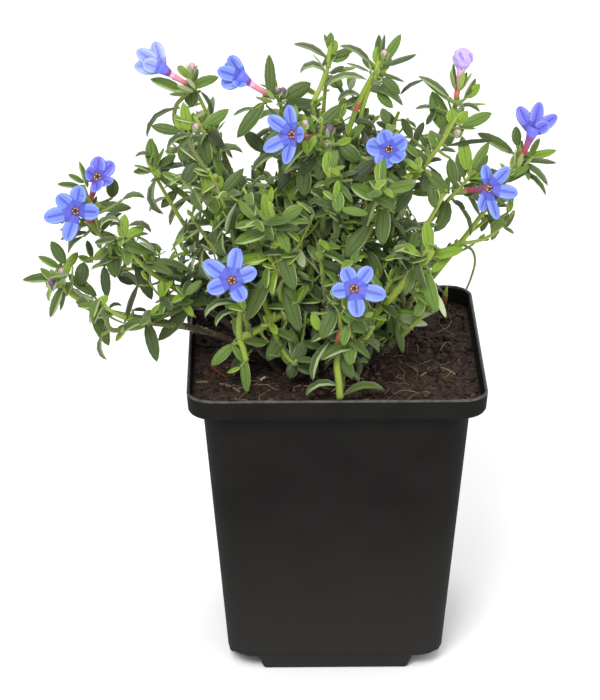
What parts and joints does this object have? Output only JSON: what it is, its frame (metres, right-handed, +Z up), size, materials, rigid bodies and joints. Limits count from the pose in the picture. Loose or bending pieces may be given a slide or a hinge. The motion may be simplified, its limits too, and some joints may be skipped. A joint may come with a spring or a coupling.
{
  "type": "potted flowering shrub",
  "caption": "Low evergreen shrublet with arching leafy canes, narrow hairy leaves and starry blue blossoms, growing in a square tapering black plastic nursery pot filled with soil.",
  "frame": {"origin": "centre of the flat underside of the pot's plus-shaped foot, where the pot stands", "axes": "+Z up out of the pot; -Y towards the front of the pot; +X to the right seen from the front"},
  "size_m": [0.1598, 0.1173, 0.1952],
  "materials": {
    "pot": "thin injection-moulded polypropylene, charcoal, satin with fine scuffs",
    "soil": "moist crumbly dark brown potting soil with pale fibres",
    "bark": "thin flaking brown bark",
    "cane": "young green stems, hairy, browning towards the foot",
    "foliage": "narrow dark green leaves with pale bristly hairs and margins, blue blossoms and red-pink tubes"
  },
  "bodies": {
    "root": {"pot": "pot", "soil": "soil", "woody_crown": "bark", "cane_west_low": "cane", "cane_west": "cane", "cane_west_back": "cane", "cane_top_west": "cane", "cane_mid_west": "cane", "cane_top_northwest": "cane", "cane_front_west": "cane", "cane_top": "cane", "cane_top_east": "cane", "cane_centre": "cane", "cane_centre_east": "cane", "cane_east_upper": "cane", "cane_east_far": "cane", "cane_east": "cane", "cane_east_front": "cane", "cane_east_low": "cane", "cane_front": "cane", "cane_front_left": "cane", "cane_front_centre": "cane", "cane_front_low_left": "cane", "cane_front_low_right": "cane", "cane_heart": "cane", "cane_back_east": "cane", "cane_back_east_low": "cane", "cane_back": "cane", "cane_back_west": "cane", "cane_back_west_low": "cane", "foliage_west_low": "foliage", "foliage_west": "foliage", "foliage_west_back": "foliage", "foliage_top_west": "foliage", "foliage_mid_west": "foliage", "foliage_top_northwest": "foliage", "foliage_front_west": "foliage", "foliage_top": "foliage", "foliage_top_east": "foliage", "foliage_centre": "foliage", "foliage_centre_east": "foliage", "foliage_east_upper": "foliage", "foliage_east_far": "foliage", "foliage_east": "foliage", "foliage_east_front": "foliage", "foliage_east_low": "foliage", "foliage_front": "foliage", "foliage_front_left": "foliage", "foliage_front_centre": "foliage", "foliage_front_low_left": "foliage", "foliage_front_low_right": "foliage", "foliage_heart": "foliage", "foliage_back_east": "foliage", "foliage_back_east_low": "foliage", "foliage_back": "foliage", "foliage_back_west": "foliage", "foliage_back_west_low": "foliage"}
  },
  "joints": []
}
